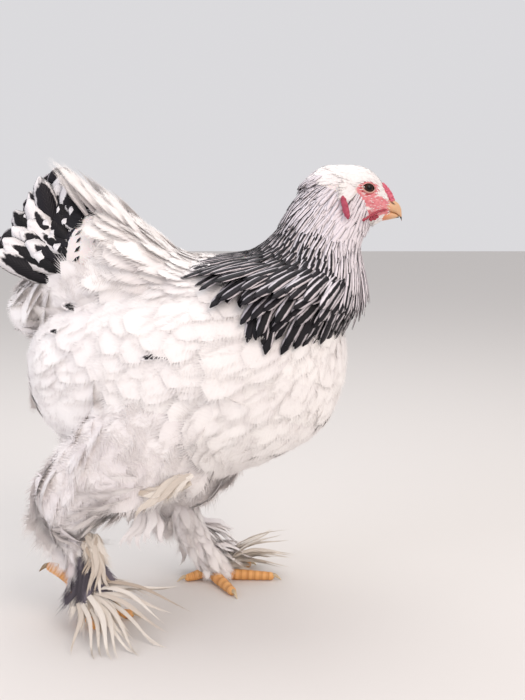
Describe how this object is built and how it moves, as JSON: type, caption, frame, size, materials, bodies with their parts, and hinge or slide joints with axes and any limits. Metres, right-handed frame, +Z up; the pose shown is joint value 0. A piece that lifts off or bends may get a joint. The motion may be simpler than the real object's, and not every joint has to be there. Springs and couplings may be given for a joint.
{
  "type": "brahma chicken",
  "caption": "Life-size still model of a standing brahma hen in mid step, with laced hackle, fanned tail, folded wings and feathered legs and feet.",
  "frame": {"origin": "on the floor under the middle of the whole hen's box", "axes": "+X the way the hen faces, +Y her left side, +Z up"},
  "size_m": [0.4652, 0.2958, 0.5319],
  "materials": {
    "white_plumage": "soft matt white feathers with a faint warm cast",
    "striped_hackle": "black lance-shaped feathers edged with white, satin",
    "tail_feathers": "black main feathers, coverts laced with white, satin",
    "bare_skin": "pink-red bare skin, fine pebbled, slightly moist",
    "horn": "horn-yellow keratin, satin",
    "toe_scales": "orange-yellow scaled skin, satin, with cream foot feathers",
    "eye": "wet dark brown eye with a black pupil"
  },
  "bodies": {
    "root": {"torso": "white_plumage", "neck": "striped_hackle", "head": "white_plumage", "beak_upper": "horn", "beak_lower": "horn", "comb": "bare_skin", "tail": "tail_feathers", "eye_left": "eye", "wattle_left": "bare_skin", "earlobe_left": "bare_skin", "wing_left": "white_plumage", "thigh_left": "white_plumage", "shank_left": "white_plumage", "foot_left": "toe_scales", "claw_hind_left": "horn", "claw_inner_left": "horn", "claw_middle_left": "horn", "claw_outer_left": "horn", "eye_right": "eye", "wattle_right": "bare_skin", "earlobe_right": "bare_skin", "wing_right": "white_plumage", "thigh_right": "white_plumage", "shank_right": "white_plumage", "foot_right": "toe_scales", "claw_hind_right": "horn", "claw_inner_right": "horn", "claw_middle_right": "horn", "claw_outer_right": "horn"}
  },
  "joints": []
}
